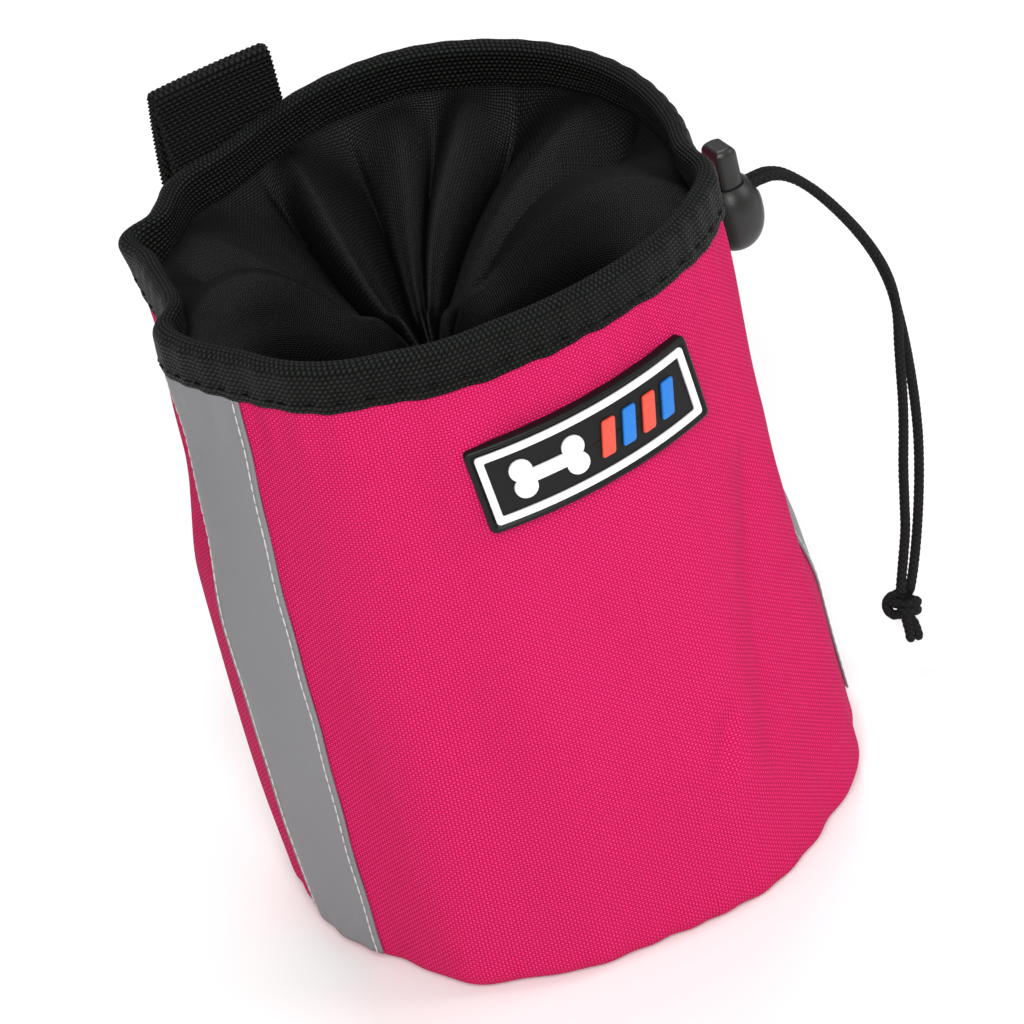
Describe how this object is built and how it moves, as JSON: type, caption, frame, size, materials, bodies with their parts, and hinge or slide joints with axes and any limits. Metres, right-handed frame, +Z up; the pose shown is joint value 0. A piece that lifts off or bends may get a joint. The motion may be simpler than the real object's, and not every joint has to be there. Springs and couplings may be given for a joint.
{
  "type": "treat pouch",
  "caption": "Round drawcord treat pouch for dog training: woven bag, gathered inner collar, reflective side strips, moulded label, cord lock and a webbing belt loop.",
  "frame": {"origin": "centre of the flat underside, where the pouch stands", "axes": "+Z up to the mouth, -Y towards the front with the label, +X towards the cord lock"},
  "size_m": [0.1501, 0.1266, 0.1491],
  "materials": {
    "shell_cloth": "magenta coarse woven polyester, matt",
    "lining_cloth": "black nylon lining with a slight sheen",
    "binding_tape": "black woven binding tape",
    "cord": "black braided 2 mm cord",
    "webbing": "black coarse woven webbing",
    "reflective_tape": "grey reflective tape",
    "label_black": "black soft moulded plastic",
    "label_white": "white soft moulded plastic",
    "label_orange": "red-orange soft moulded plastic",
    "label_blue": "blue soft moulded plastic",
    "lock_plastic": "black moulded plastic, satin",
    "spring_steel": "bright spring wire"
  },
  "bodies": {
    "pouch": {"outer_panel": "shell_cloth", "base_panel": "shell_cloth", "lining_wall": "lining_cloth", "lining_base": "lining_cloth", "rim_binding": "binding_tape", "closure_collar": "lining_cloth", "reflective_strip_left": "reflective_tape", "reflective_strip_right": "reflective_tape", "label_base": "label_black", "label_frame": "label_white", "label_bone": "label_white", "label_bar_1": "label_orange", "label_bar_2": "label_blue", "label_bar_3": "label_orange", "label_bar_4": "label_blue", "belt_loop": "webbing", "drawcord_inner": "cord", "drawcord_strand_front": "cord", "drawcord_strand_rear": "cord", "cord_knot": "cord"},
    "cord_lock": {"cord_lock_body": "lock_plastic", "cord_lock_spring": "spring_steel"},
    "plunger": {"cord_lock_plunger": "lock_plastic"}
  },
  "joints": [
    {"name": "lock_slide", "type": "slide", "parent": "pouch", "child": "cord_lock", "axis": [1, 0, 0], "range_m": [0, 0.004]},
    {"name": "plunger_press", "type": "slide", "parent": "cord_lock", "child": "plunger", "axis": [0, 0, -1], "range_m": [0, 0.0035], "stiffness_N_per_m": 300, "deforming": ["cord_lock_spring"]}
  ]
}
